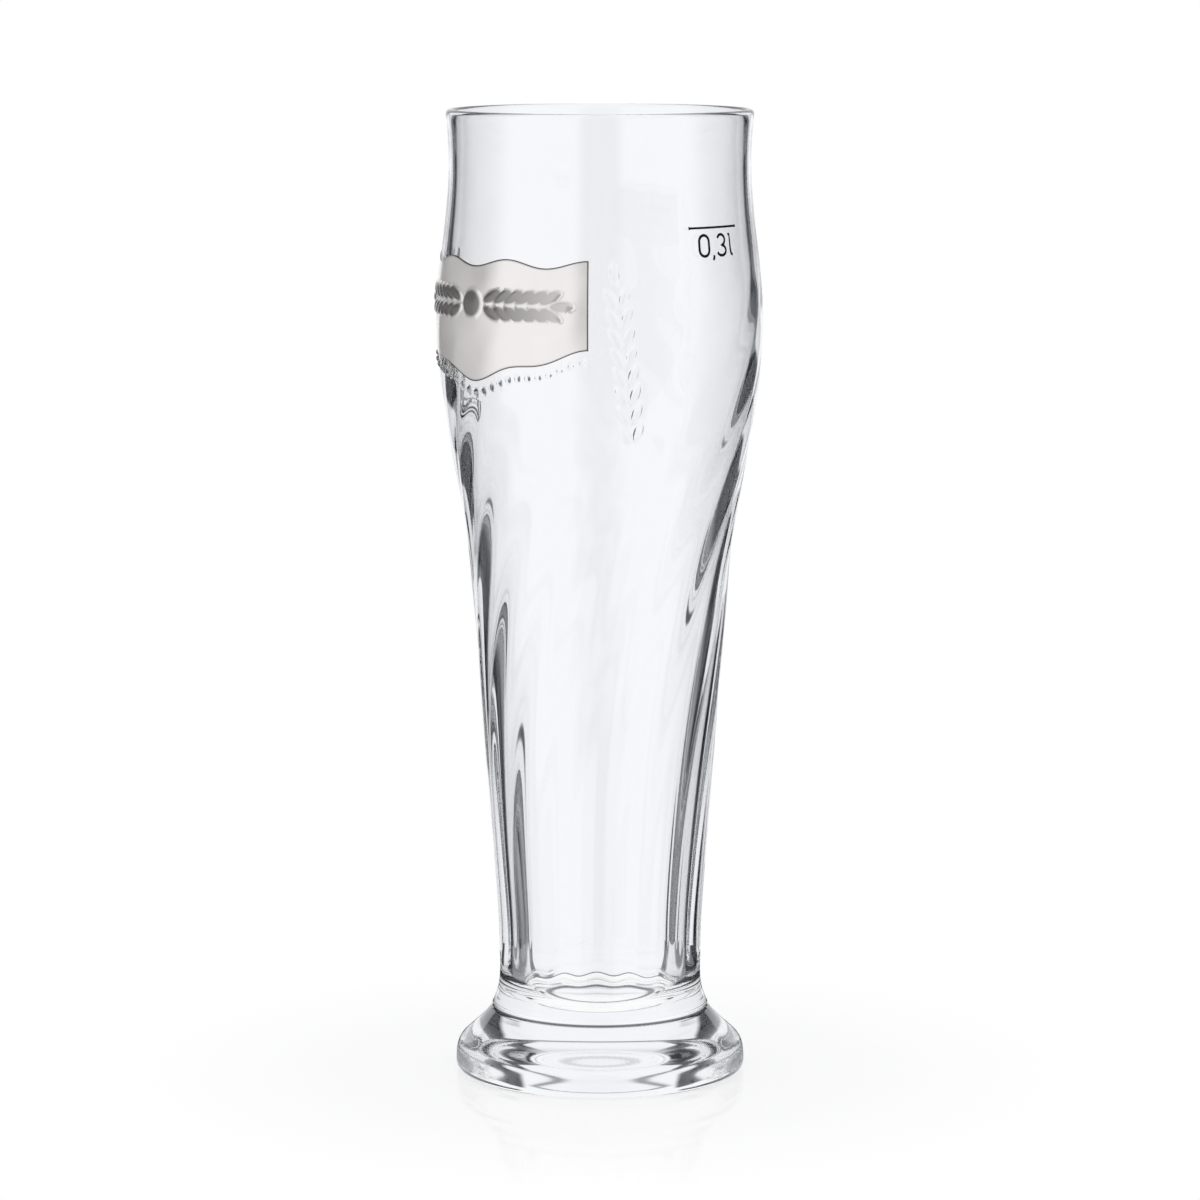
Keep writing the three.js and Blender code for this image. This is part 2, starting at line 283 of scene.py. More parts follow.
def foot_points(section):
    """The foot's half of the section, from under the middle to below the crease."""
    sizes = section.sizes
    rest_in = sizes.rest_inner_diameter / 2
    rest_out = sizes.rest_outer_diameter / 2
    edge = (sizes.foot_diameter / 2, sizes.foot_edge_height)
    shoulder = (sizes.seam_diameter / 2, section.seam_z - sizes.crease_depth)
    slope_end = (
        shoulder[0] + sizes.foot_slope_reach * math.cos(sizes.foot_slope),
        shoulder[1] - sizes.foot_slope_reach * math.sin(sizes.foot_slope),
    )
    underside = [(0.0, sizes.underside_rise), (rest_in / 2, sizes.underside_rise), (rest_in, 0.0)]
    flank = [edge, (edge[0], edge[1] + sizes.foot_edge_reach), slope_end, shoulder]
    return [
        *bezier_points(underside, UNDERSIDE_STEPS),
        *[(radius, 0.0) for radius in np.linspace(rest_in, rest_out, RING_STEPS + 1)[1:-1]],
        *bezier_points([(rest_out, 0.0), (edge[0], 0.0), edge], EDGE_STEPS),
        *bezier_points(flank, FLANK_STEPS)[1:],
    ]


def bowl_points(section):
    """The bowl's half of the section, from the crease over the rim to the middle of the floor."""
    sizes = section.sizes
    floor_z = section.floor_z
    crease = (sizes.seam_diameter / 2 - sizes.crease_depth, section.seam_z)
    collar_z = section.seam_z + sizes.crease_depth
    corner_z = floor_z + sizes.floor_rounding
    corner = float(section.inside(corner_z))
    outside = spread(collar_z, section.rim_z, OUTSIDE_STEP)
    inside = spread(corner_z, section.rim_z, INSIDE_STEP)[:0:-1]
    floor = [(corner, corner_z), (corner, floor_z), (corner / 2, floor_z), (0.0, floor_z)]
    bead = sizes.rim_bead / 2
    return [
        crease,
        *[(float(section.outside(z)), z) for z in outside],
        *arc_points((sizes.rim_diameter / 2 - bead, section.rim_z), bead, bead, 0, 180, RIM_STEPS),
        *[(float(section.inside(z)), z) for z in inside],
        *bezier_points(floor, FLOOR_STEPS),
    ]


def turned_mesh(points, columns):
    """A bmesh of the section's points turned once round the upright axis."""
    bm = bmesh.new()
    row = [bm.verts.new((0.0, -radius, z)) for radius, z in points]
    edges = [bm.edges.new(pair) for pair in zip(row, row[1:])]
    bmesh.ops.spin(
        bm, geom=row + edges, cent=(0, 0, 0), axis=(0, 0, 1), dvec=(0, 0, 0), angle=FULL_TURN,
        steps=columns, use_merge=True, use_duplicate=False,
    )
    bmesh.ops.remove_doubles(bm, verts=bm.verts[:], dist=TINY)
    return bm


def vertex_table(bm):
    """Angle, radius and height of every vertex, angles from the front to the right."""
    places = np.array([v.co[:] for v in bm.verts])
    angles = np.arctan2(places[:, 0], -places[:, 1])
    return angles, np.hypot(places[:, 0], places[:, 1]), places[:, 2]


def place(angle, radius, z):
    """The point at an angle from the front, a radius and a height."""
    return radius * math.sin(angle), -radius * math.cos(angle), z


def new_object(name, bm, material):
    """Makes the bmesh an object of the scene with one material."""
    mesh = bpy.data.meshes.new(name)
    bm.to_mesh(mesh)
    bm.free()
    mesh.materials.append(material)
    made = bpy.data.objects.new(name, mesh)
    bpy.context.scene.collection.objects.link(made)
    return made


def finished_piece(name, bm, material, slot, *nodes):
    """Makes the bmesh a smooth piece of the object that stands for the named nodes."""
    bmesh.ops.recalc_face_normals(bm, faces=bm.faces[:])
    for face in bm.faces:
        face.smooth = True
    piece = new_object(name, bm, material)
    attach(piece, BODY)
    if nodes:
        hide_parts(*nodes)
    return piece


class NodeSheet:
    """A material's or the world's node tree, with short calls to add and join nodes."""

    def __init__(self, tree):
        self.tree = tree
        tree.nodes.clear()

    def add(self, kind, settings=None, **inputs):
        """A new node with its settings, and a value or a link for each named input."""
        node = self.tree.nodes.new(kind)
        for key, value in (settings or {}).items():
            setattr(node, key, value)
        for key, value in inputs.items():
            self.feed(node.inputs[key.replace("_", " ")], value)
        return node

    def feed(self, socket, value):
        """Links an input to a socket, or sets its value."""
        if isinstance(value, bpy.types.NodeSocket):
            self.tree.links.new(value, socket)
        else:
            socket.default_value = value

    def maths(self, operation, *values):
        """The result of a sum on values or sockets."""
        node = self.add("ShaderNodeMath", {"operation": operation})
        for socket, value in zip(node.inputs, values):
            self.feed(socket, value)
        return node.outputs[0]

    def ramp(self, value, low, high, to_low=0.0, to_high=1.0):
        """Goes softly from to_low to to_high while the value goes from low to high."""
        node = self.add(
            "ShaderNodeMapRange", {"interpolation_type": "SMOOTHSTEP"},
            Value=value, From_Min=low, From_Max=high, To_Min=to_low, To_Max=to_high,
        )
        return node.outputs["Result"]

    def blend(self, share, first, second):
        """A colour between two, the second one at a share of 1."""
        node = self.add("ShaderNodeMix", {"data_type": "RGBA"})
        self.feed(node.inputs["Factor"], share)
        self.feed(node.inputs[6], first)
        self.feed(node.inputs[7], second)
        return node.outputs[2]

    def blend_shaders(self, share, first, second):
        """A shader between two, the second one at a share of 1."""
        node = self.add("ShaderNodeMixShader", Fac=share)
        self.feed(node.inputs[1], first.outputs[0])
        self.feed(node.inputs[2], second.outputs[0])
        return node

    def noise(self, coordinates, scale, detail=2.0):
        """Soft noise from 0 to 1 over the coordinates."""
        return self.add("ShaderNodeTexNoise", Vector=coordinates, Scale=scale, Detail=detail).outputs["Fac"]

    def object_coordinates(self):
        """Coordinates that belong to the object."""
        return self.add("ShaderNodeTexCoord").outputs["Object"]

    def axes(self, vector):
        """The three parts of a vector."""
        return self.add("ShaderNodeSeparateXYZ", Vector=vector).outputs

    def distance(self, coordinates):
        """How far the coordinates are from the origin."""
        node = self.add("ShaderNodeVectorMath", {"operation": "LENGTH"}, Vector=coordinates)
        return node.outputs["Value"]

    def finish(self, shader, volume=None):
        """Gives the material its surface, and a volume if it has one."""
        output = self.add("ShaderNodeOutputMaterial")
        self.feed(output.inputs["Surface"], shader.outputs[0])
        if volume:
            self.feed(output.inputs["Volume"], volume.outputs["Volume"])


def new_material(name):
    """An empty material and the sheet of its nodes."""
    material = bpy.data.materials.new(name)
    material.use_nodes = True
    return material, NodeSheet(material.node_tree)


# Half width of the painted shade line in the crease, from its dark middle to the clear glass beside it.
CREASE_SHADE_WIDTH = (0.15 * MM, 0.45 * MM)
CREASE_SHADE_COLOUR = (0.03, 0.032, 0.036, 1.0)
# Heights and distances from the middle over which the dull underside ends.
DULL_TOP = (1.8 * MM, 2.4 * MM)
DULL_EDGE = (23.0 * MM, 26.0 * MM)
DULL_ROUGHNESS = 0.05


def clear_glass(colour, seam_z):
    """Clear soda glass, faintly wavy, with a painted shade line in the crease and a slightly dull
    underside.
    """
    material, sheet = new_material("clear_glass")
    coordinates = sheet.object_coordinates()
    height = sheet.axes(coordinates)["Z"]
    waviness = sheet.noise(coordinates, scale=60.0, detail=1.0)
    bump = sheet.add("ShaderNodeBump", Strength=0.02, Distance=0.001, Height=waviness)
    haze = sheet.ramp(sheet.noise(coordinates, scale=25.0), 0.4, 0.8, to_low=0.0, to_high=0.004)
    low = sheet.ramp(height, *DULL_TOP, to_low=DULL_ROUGHNESS, to_high=0.0)
    inner = sheet.ramp(sheet.distance(coordinates), *DULL_EDGE, to_low=1.0, to_high=0.0)
    roughness = sheet.maths("MAXIMUM", haze, sheet.maths("MULTIPLY", low, inner))
    # Painted shade: the glass's colour goes dark in a thin line along the crease, where the real glass
    # shows a line of shade.
    from_seam = sheet.maths("ABSOLUTE", sheet.maths("SUBTRACT", height, seam_z))
    shade = sheet.blend(sheet.ramp(from_seam, *CREASE_SHADE_WIDTH), CREASE_SHADE_COLOUR, WHITE)
    body = sheet.add(
        "ShaderNodeBsdfPrincipled", Base_Color=shade, Roughness=roughness, IOR=1.52,
        Transmission_Weight=1.0, Normal=bump.outputs["Normal"],
    )
    sheet.finish(body, sheet.add("ShaderNodeVolumeAbsorption", Color=(*colour, 1.0), Density=6.0))
    return material


# Colour of the painted shade along the label's edges and of the painted dark reflection on its relief.
SILVER_SHADE_COLOUR = (0.02, 0.018, 0.018, 1.0)
CLOUD_DIMMING = 0.9


def fired_silver(colour):
    """Bright silver fired on the glass, a little cloudy, with painted shade and dark reflections where the
    mesh says so.
    """
    material, sheet = new_material("fired_silver")
    cloud = sheet.noise(sheet.object_coordinates(), scale=180.0, detail=3.0)
    darker = tuple(CLOUD_DIMMING * value for value in colour)
    shade = sheet.blend(cloud, (*darker, 1.0), (*colour, 1.0))
    lines = sheet.add("ShaderNodeAttribute", {"attribute_name": "dark"}).outputs["Fac"]
    shade = sheet.blend(sheet.ramp(lines, 0.0, 0.9), shade, SILVER_SHADE_COLOUR)
    roughness = sheet.ramp(cloud, 0.3, 0.7, to_low=0.12, to_high=0.20)
    sheet.finish(
        sheet.add("ShaderNodeBsdfPrincipled", Base_Color=shade, Roughness=roughness, Metallic=0.5)
    )
    return material


PATCH_LIGHTENING = 2.0


def black_print(colour):
    """Black fired print, a little uneven."""
    material, sheet = new_material("black_print")
    patches = sheet.noise(sheet.object_coordinates(), scale=900.0)
    lighter = tuple(PATCH_LIGHTENING * value for value in colour)
    shade = sheet.blend(patches, (*colour, 1.0), (*lighter, 1.0))
    roughness = sheet.ramp(patches, 0.3, 0.7, to_low=0.5, to_high=0.65)
    sheet.finish(sheet.add(
        "ShaderNodeBsdfPrincipled", Base_Color=shade, Roughness=roughness, Specular_IOR_Level=0.1
    ))
    return material


Grain = namedtuple("Grain", "u z lean half_length half_width")

# Width of a grain and its shift from the ear's middle, in shares of its length, and its lean.
GRAIN_WIDTH = 0.42
GRAIN_SHIFT = 0.6
GRAIN_LEAN = math.radians(26)
# Where the first and the last pair of grains sit along an ear.
PAIR_SHARES = (0.06, 0.86)


def grain_reach(u, z, grains):
    """How far flat places (u, z) are from the nearest grain: 0 in its middle, 1 on its outline."""
    nearest = np.full_like(u, np.inf)
    for grain in grains:
        across = (u - grain.u) * math.cos(grain.lean) + (z - grain.z) * math.sin(grain.lean)
        along = (z - grain.z) * math.cos(grain.lean) - (u - grain.u) * math.sin(grain.lean)
        nearest = np.minimum(nearest, np.hypot(across / grain.half_width, along / grain.half_length))
    return nearest


def grain_height(reach):
    """Height from 0 to 1 of the rounded grains."""
    return np.sqrt(np.clip(1 - reach * reach, 0.0, 1.0))


def ear_grains(foot, tip, pairs, size):
    """The grains of a wheat ear from its foot to its tip: leaning pairs and one at the end."""
    lean = math.atan2(foot[0] - tip[0], tip[1] - foot[1])
    grains = [Grain(*tip, lean, size, GRAIN_WIDTH * size)]
    for share in np.linspace(*PAIR_SHARES, pairs):
        u = foot[0] + (tip[0] - foot[0]) * share
        z = foot[1] + (tip[1] - foot[1]) * share
        for side in (-1, 1):
            shift = side * GRAIN_SHIFT * size
            grains.append(Grain(
                u + shift * math.cos(lean), z + shift * math.sin(lean),
                lean - side * GRAIN_LEAN, size, GRAIN_WIDTH * size,
            ))
    return grains


# The lying ears on the label, in shares of its height or its span, and the boss in shares of a grain.
LYING_MIDDLE = 0.47
LYING_SIZE = 0.16
LYING_FOOT = 0.09
LYING_TIP = 0.40
LYING_PAIRS = 6
BOSS_SIZE = 1.1
# The standing ears beside the label: each end's turn from the label, and its drop in label heights.
STANDING_SIZE = 0.13
STANDING_FOOT = (math.radians(16), 2.0)
STANDING_TIP = (math.radians(9), 0.1)
STANDING_PAIRS = 8
# The beads below the label, their size in shares of a standing grain.
BEAD_START = math.radians(6)
BEAD_STEP = math.radians(4)
BEAD_DROP = 0.13
BEAD_SIZE = 0.3
# Painted dark reflection on the label's relief, paler between these shares of the span.
PAINTED_REFLECTION_SHARES = (0.62, 0.95)
PAINTED_REFLECTION_DARKNESS = (0.62, 0.3)
PAINTED_REFLECTION_EDGE = 4


class LabelPlan:
    """Where the silver label lies on the belly, and its relief."""

    def __init__(self, section, label):
        self.label = label
        self.radius = section.sizes.belly_diameter / 2
        self.top_z = section.belly_z + label.top_above_belly
        self.left_angle = label.right_angle - label.span

    def edges(self, angle):
        """Lower and upper edge of the label at an angle."""
        label = self.label
        share = np.clip((angle - self.left_angle) / label.span, 0.0, 1.0)
        wave = label.wave * np.cos(FULL_TURN * label.waves * share)
        sag = label.sag * np.sin(math.pi * share) ** 2
        return self.top_z - label.height - sag + wave, self.top_z + wave

    def inwards(self, angle, z):
        """How far a place on the label is from its nearest edge."""
        low, high = self.edges(angle)
        sideways = self.radius * np.minimum(angle - self.left_angle, self.label.right_angle - angle)
        return np.minimum(sideways, np.minimum(z - low, high - z))

    def reach(self, angle, z):
        """How far a place on the label is from the two lying wheat ears and the boss between them."""
        return grain_reach(self.radius * angle, z, self.label_grains())

    def painted_shade_and_reflection(self, angle, z):
        """Painted shade line along the edges and painted dark reflection on the relief, paler towards the
        right.
        """
        line = 1 - np.clip(self.inwards(angle, z) / self.label.outline_width, 0.0, 1.0)
        share = (angle - self.left_angle) / self.label.span
        # Painted reflection: the relief is darkened as if it mirrored dark surroundings, less so towards
        # the right.
        painted_reflection = np.interp(share, PAINTED_REFLECTION_SHARES, PAINTED_REFLECTION_DARKNESS)
        raised = np.clip(PAINTED_REFLECTION_EDGE * (1 - self.reach(angle, z)), 0.0, 1.0)
        return np.maximum(line, painted_reflection * raised)

    def label_grains(self):
        """Relief on the label: two lying ears and the boss between them."""
        label = self.label
        middle = self.radius * (self.left_angle + label.span / 2)
        z = self.top_z - LYING_MIDDLE * label.height
        size = LYING_SIZE * label.height
        grains = [Grain(middle, z, 0.0, BOSS_SIZE * size, BOSS_SIZE * size)]
        for side in (-1, 1):
            foot = middle + side * LYING_FOOT * label.span * self.radius
            tip = middle + side * LYING_TIP * label.span * self.radius
            grains += ear_grains((foot, z), (tip, z), LYING_PAIRS, size)
        return grains

    def glass_grains(self):
        """Relief in the glass: a standing ear beside each end of the label and beads below it."""
        label = self.label
        size = STANDING_SIZE * label.height
        grains = []
        for end, side in ((self.left_angle, -1), (label.right_angle, 1)):
            foot, tip = (
                (self.radius * (end + side * aside), self.top_z - drop * label.height)
                for aside, drop in (STANDING_FOOT, STANDING_TIP)
            )
            grains += ear_grains(foot, tip, STANDING_PAIRS, size)
        bead = BEAD_SIZE * size
        for angle in np.arange(self.left_angle + BEAD_START, label.right_angle, BEAD_STEP):
            low, _high = self.edges(angle)
            grains.append(Grain(self.radius * angle, low - BEAD_DROP * label.height, 0.0, bead, bead))
        return grains


# How much finer the wall is cut for the relief, how far round each grain and how deep into the wall.
RELIEF_CUTS = 3
RELIEF_MARGIN = 1.5 * MM
RELIEF_DEPTH = 4 * MM


def refine_near(bm, radius, grains):
    """Cuts the faces of the wall near the grains finer, so that the relief can be raised there."""
    angles, radii, heights = vertex_table(bm)
    u = angles * radius
    near = np.zeros(len(bm.verts), dtype=bool)
    for grain in grains:
        reach = grain.half_length + RELIEF_MARGIN
        near |= (np.abs(u - grain.u) < reach) & (np.abs(heights - grain.z) < reach)
    near &= radii > radius - RELIEF_DEPTH
    chosen = {vertex for vertex, hit in zip(bm.verts, near) if hit}
    edges = [edge for edge in bm.edges if edge.verts[0] in chosen and edge.verts[1] in chosen]
    bmesh.ops.subdivide_edges(bm, edges=edges, cuts=RELIEF_CUTS, use_grid_fill=True)


def shape_outside(bm, section, plan):
    """Moves the wall's outside onto the ribs and the relief, and opens the gaps between the foot's bars."""
    sizes = section.sizes
    angles, radii, heights = vertex_table(bm)
    wall_middle = (section.outside(heights) + section.inside(heights)) / 2
    outside = (heights > section.rib_start_z) & (heights < section.rim_z) & (radii > wall_middle)
    relief = grain_height(grain_reach(angles * plan.radius, heights, plan.glass_grains()))
    shaped = section.ribbed(angles, heights) + plan.label.glass_grain_height * relief
    on_ring = (heights < TINY) & (radii > sizes.rest_inner_diameter / 2 + TINY)
    on_ring &= radii < sizes.rest_outer_diameter / 2 - TINY
    columns = np.round(angles / FULL_TURN * sizes.rib_count * COLUMNS_PER_RIB).astype(int)
    gaps = on_ring & (columns % 2 == 1)
    for vertex, is_wall, is_gap, angle, radius, z in zip(bm.verts, outside, gaps, angles, shaped, heights):
        if is_wall:
            vertex.co = place(angle, radius, z)
        if is_gap:
            vertex.co.z = sizes.rest_bar_depth


class GLASS_OT_vessel(bpy.types.Operator):
    """Builds the bowl and the foot as one piece of clear glass"""

    bl_idname = "glass.vessel"
    bl_label = "Glass Vessel"

    def execute(self, context):
        sizes = context.scene.glass_vessel
        section = Section(sizes)
        plan = LabelPlan(section, context.scene.glass_label)
        points = foot_points(section) + bowl_points(section)
        bm = turned_mesh(points, sizes.rib_count * COLUMNS_PER_RIB)
        refine_near(bm, plan.radius, plan.glass_grains())
        shape_outside(bm, section, plan)
        material = clear_glass(context.scene.glass_studio.glass_colour, section.seam_z)
        finished_piece("vessel", bm, material, "clear_glass", "bowl", "foot")
        return {"FINISHED"}


LABEL_COLUMNS = 300
LABEL_ROWS = 76


class GLASS_OT_label(bpy.types.Operator):
    """Builds the silver label on the belly"""

    bl_idname = "glass.label"
    bl_label = "Silver Label"

    def execute(self, context):
        label = context.scene.glass_label
        section = Section(context.scene.glass_vessel)
        plan = LabelPlan(section, label)
        bm = bmesh.new()
        bmesh.ops.create_grid(bm, x_segments=LABEL_COLUMNS, y_segments=LABEL_ROWS, size=0.5)
        shares = np.array([vertex.co[:2] for vertex in bm.verts]) + 0.5
        angles = plan.left_angle + label.span * shares[:, 0]
        low, high = plan.edges(angles)
        heights = low + (high - low) * shares[:, 1]
        relief = grain_height(plan.reach(angles, heights))
        radii = section.ribbed(angles, heights) + label.lift + label.grain_height * relief
        # Painted shade along the edges and painted dark reflection on the relief, kept in the mesh's dark
        # layer.
        shades = plan.painted_shade_and_reflection(angles, heights)
        dark = bm.verts.layers.float.new("dark")
        for vertex, angle, radius, z, shade in zip(bm.verts, angles, radii, heights, shades):
            vertex.co = place(angle, radius, z)
            vertex[dark] = shade
        material = fired_silver(context.scene.glass_studio.silver_colour)
        piece = finished_piece("silver_plaque", bm, material, "fired_silver", "silver_label")
        layer = piece.modifiers.new("thickness", "SOLIDIFY")
        layer.thickness = label.thickness
        layer.offset = -1.0
        return {"FINISHED"}


# The figures' strokes, with FIGURE_UNITS to their height, from the line's left end and their own foot.
FIGURE_UNITS = 4.3
NOUGHT_MIDDLE = 3.8
NOUGHT_BOW = 1.3
COMMA = ((6.4, 0.15), (6.35, -0.35), (6.1, -0.85))
THREE_MIDDLE = 8.75
ELL = ((11.1, 4.2), (11.6, 4.25), (11.65, 1.0), (11.75, 0.45), (12.0, 0.12), (12.35, 0.05))
BOW_STEPS = 12
THREE_STEPS = 14


def figure_paths(mark):
    """Stroke centres of the figures 0,3 and the letter l, each with whether it is closed."""
    high = mark.figure_height - mark.stroke
    unit = high / FIGURE_UNITS
    middle = NOUGHT_MIDDLE * unit
    bow = NOUGHT_BOW * unit
    straight = high / 2 - bow
    nought = [
        *arc_points((middle, high / 2 + straight), bow, bow, 0, 180, BOW_STEPS),
        *arc_points((middle, high / 2 - straight), bow, bow, 180, 360, BOW_STEPS),
    ]
    three_middle = THREE_MIDDLE * unit
    three = [
        *arc_points((three_middle, 3.2 * unit), 1.15 * unit, 1.1 * unit, 160, -90, THREE_STEPS),
        *arc_points((three_middle, 1.05 * unit), 1.35 * unit, 1.05 * unit, 90, -160, THREE_STEPS)[1:],
    ]
    comma, ell = ([(u * unit, v * unit) for u, v in points] for points in (COMMA, ELL))
    return [(nought, True), (comma, False), (three, False), (ell, False)]


def stroke_mesh(paths, width):
    """A mesh of round strokes along the paths, drawn in the plane of x and y."""
    curve = bpy.data.curves.new("figures", "CURVE")
    curve.dimensions = "3D"
    curve.bevel_depth = width / 2
    curve.bevel_resolution = 2
    curve.use_fill_caps = True
    for points, closed in paths:
        spline = curve.splines.new("POLY")
        spline.points.add(len(points) - 1)
        spline.use_cyclic_u = closed
        for point, (u, v) in zip(spline.points, points):
            point.co = (u, v, 0.0, 1.0)
    drawing = bpy.data.objects.new("figures", curve)
    mesh = bpy.data.meshes.new_from_object(drawing)
    bpy.data.objects.remove(drawing)
    bpy.data.curves.remove(curve)
    return mesh


# Columns of the fill line, and how much wider its ends are.
LINE_COLUMNS = 56
LINE_FLARE = 0.7


class GLASS_OT_fill_mark(bpy.types.Operator):
    """Builds the printed fill line and its figures"""

    bl_idname = "glass.fill_mark"
    bl_label = "Fill Mark"

    def execute(self, context):
        mark = context.scene.glass_mark
        section = Section(context.scene.glass_vessel)
        line_z = section.top_z - mark.line_below_rim
        radius = float(section.outside(line_z))
        material = black_print(context.scene.glass_studio.print_colour)

        def wrapped(u, z, height):
            angle = mark.left_angle + u / radius
            return place(angle, float(section.ribbed(angle, z)) + height, z)

        line = bmesh.new()
        bmesh.ops.create_grid(line, x_segments=LINE_COLUMNS, y_segments=2, size=0.5)
        for vertex in line.verts:
            from_end = mark.line_length * (0.5 - abs(vertex.co.x))
            flare = 1 + LINE_FLARE * max(0.0, 1 - from_end / mark.line_width)
            u = mark.line_length * (vertex.co.x + 0.5)
            z = line_z + vertex.co.y * mark.line_width * flare
            vertex.co = wrapped(u, z, mark.print_thickness)
        finished_piece("fill_stroke", line, material, "black_print", "fill_line")

        figures = bmesh.new()
        drawing = stroke_mesh(figure_paths(mark), mark.stroke)
        figures.from_mesh(drawing)
        bpy.data.meshes.remove(drawing)
        base_z = line_z - mark.figure_gap - mark.figure_height + mark.stroke / 2
        for vertex in figures.verts:
            u, v, w = vertex.co
            vertex.co = wrapped(u, base_z + v, mark.print_thickness * (1 + 2 * w / mark.stroke) / 2)
        finished_piece("fill_figures", figures, material, "black_print")
        return {"FINISHED"}


# Grey of the studio's walls by degrees from the front, the same on the left and the right, in three
# rows: for directions that go down, for level ones and for those that go up.
MIRRORED_ROWS = (
    ((0, 0.35), (11, 0.35), (20, 1.0), (74, 1.0), (98, 0.35), (122, 0.22), (130, 0.0)),
    ((0, 0.35), (11, 0.35), (20, 1.0), (74, 1.0), (98, 0.3), (138, 0.1), (148, 0.0)),
    ((0, 0.35), (11, 0.35), (20, 1.0), (74, 1.0), (92, 0.0), (146, 0.0), (149, 1.0)),
)
SEEN_ROWS = (
    (
        (0, 1.0), (92, 1.0), (95, 0.2), (98, 0.2), (101, 1.0), (117, 1.0), (120, 0.2), (123, 0.2),
        (126, 1.0), (143, 1.0), (147, 0.1),
    ),
    ((0, 1.0), (64, 1.0), (67, 0.1), (69, 0.1), (72, 1.0), (110, 1.0), (118, 0.0)),
    ((0, 1.0), (30, 1.0), (50, 0.0)),
)
# The height of a direction, from -1 straight down to 1 straight up, over which one row passes into
# the next and the last one into the ceiling.
MIRRORED_LEVEL = (-0.09, -0.06)
SEEN_LEVEL = (-0.34, -0.28)
UPWARD = (0.03, 0.08)
CEILING = (0.6, 0.8)
STRAIGHT_DOWN = -1.0
# The light above the camera that is mirrored: where it begins, and its half width.
FRONT_LIGHT = (0.15, 0.35)
FRONT_LIGHT_HALF_WIDTH = math.pi / 4
# Distances from the axis over which the table takes on the walls' colours, and over which its shadow
# and its mirror image fade, with the shares of these two.
TABLE_WALLS = (29 * MM, 34 * MM)
TABLE_FADE = (40 * MM, 110 * MM)
TABLE_SHADOW = 0.15
TABLE_MIRROR = 0.12


def panel_azimuth(sheet, axes):
    """The angle round the glass of a direction or a place, from the front to the right."""
    return sheet.maths("ARCTAN2", axes[0], sheet.maths("MULTIPLY", axes[1], -1.0))


def bands(sheet, aside, stops):
    """Grey bands on both sides of the studio, with stops of (degrees from the front, grey)."""
    node = sheet.add("ShaderNodeValToRGB", Fac=sheet.maths("DIVIDE", aside, math.pi))
    ramp = node.color_ramp
    for element, (degrees, grey) in zip(ramp.elements, (stops[0], stops[-1])):
        element.position = degrees / 180
        element.color = (grey, grey, grey, 1.0)
    for degrees, grey in stops[1:-1]:
        ramp.elements.new(degrees / 180).color = (grey, grey, grey, 1.0)
    return sheet.add("ShaderNodeRGBToBW", Color=node.outputs["Color"]).outputs["Val"]


def wall_rows(sheet, aside, height, rows, level_range):
    """The three rows of walls, blended by the height of the direction."""
    low, level, upward = (bands(sheet, aside, stops) for stops in rows)
    walls = sheet.blend(sheet.ramp(height, *level_range), low, level)
    return sheet.blend(sheet.ramp(height, *UPWARD), walls, upward)


def studio_walls(sheet, azimuth, height, studio):
    """The colour of the walls round the glass; reflections meet other panels than straight views."""
    aside = sheet.maths("ABSOLUTE", azimuth)
    seen = wall_rows(sheet, aside, height, SEEN_ROWS, SEEN_LEVEL)
    mirrored = wall_rows(sheet, aside, height, MIRRORED_ROWS, MIRRORED_LEVEL)
    in_front = sheet.maths("LESS_THAN", aside, FRONT_LIGHT_HALF_WIDTH)
    front_light = sheet.maths("MULTIPLY", in_front, sheet.ramp(height, *FRONT_LIGHT))
    mirrored = sheet.maths("MAXIMUM", mirrored, front_light)
    path = sheet.add("ShaderNodeLightPath").outputs
    is_mirrored = sheet.maths("GREATER_THAN", path["Glossy Depth"], 0.5)
    panel_edge = math.pi - studio.panel_bright
    back = sheet.ramp(aside, panel_edge - studio.panel_soft, panel_edge + studio.panel_soft)
    white = sheet.maths("MAXIMUM", sheet.blend(is_mirrored, seen, mirrored), back)
    return sheet.blend(white, (*studio.gap_colour, 1.0), (*studio.wall_colour, 1.0))


def studio_world(studio):
    """White to the camera; white panels with dark gaps to what shines or is seen through glass."""
    world = bpy.data.worlds.new("white_studio")
    world.use_nodes = True
    sheet = NodeSheet(world.node_tree)
    axes = sheet.axes(sheet.add("ShaderNodeTexCoord").outputs["Generated"])
    walls = studio_walls(sheet, panel_azimuth(sheet, axes), axes["Z"], studio)
    walls = sheet.blend(sheet.ramp(axes["Z"], *CEILING), walls, (*studio.ceiling_colour, 1.0))
    glossy = sheet.add("ShaderNodeLightPath").outputs["Is Glossy Ray"]
    background = sheet.add("ShaderNodeBackground", Color=sheet.blend(glossy, WHITE, walls), Strength=1.0)
    sheet.feed(sheet.add("ShaderNodeOutputWorld").inputs["Surface"], background.outputs[0])
    bpy.context.scene.world = world


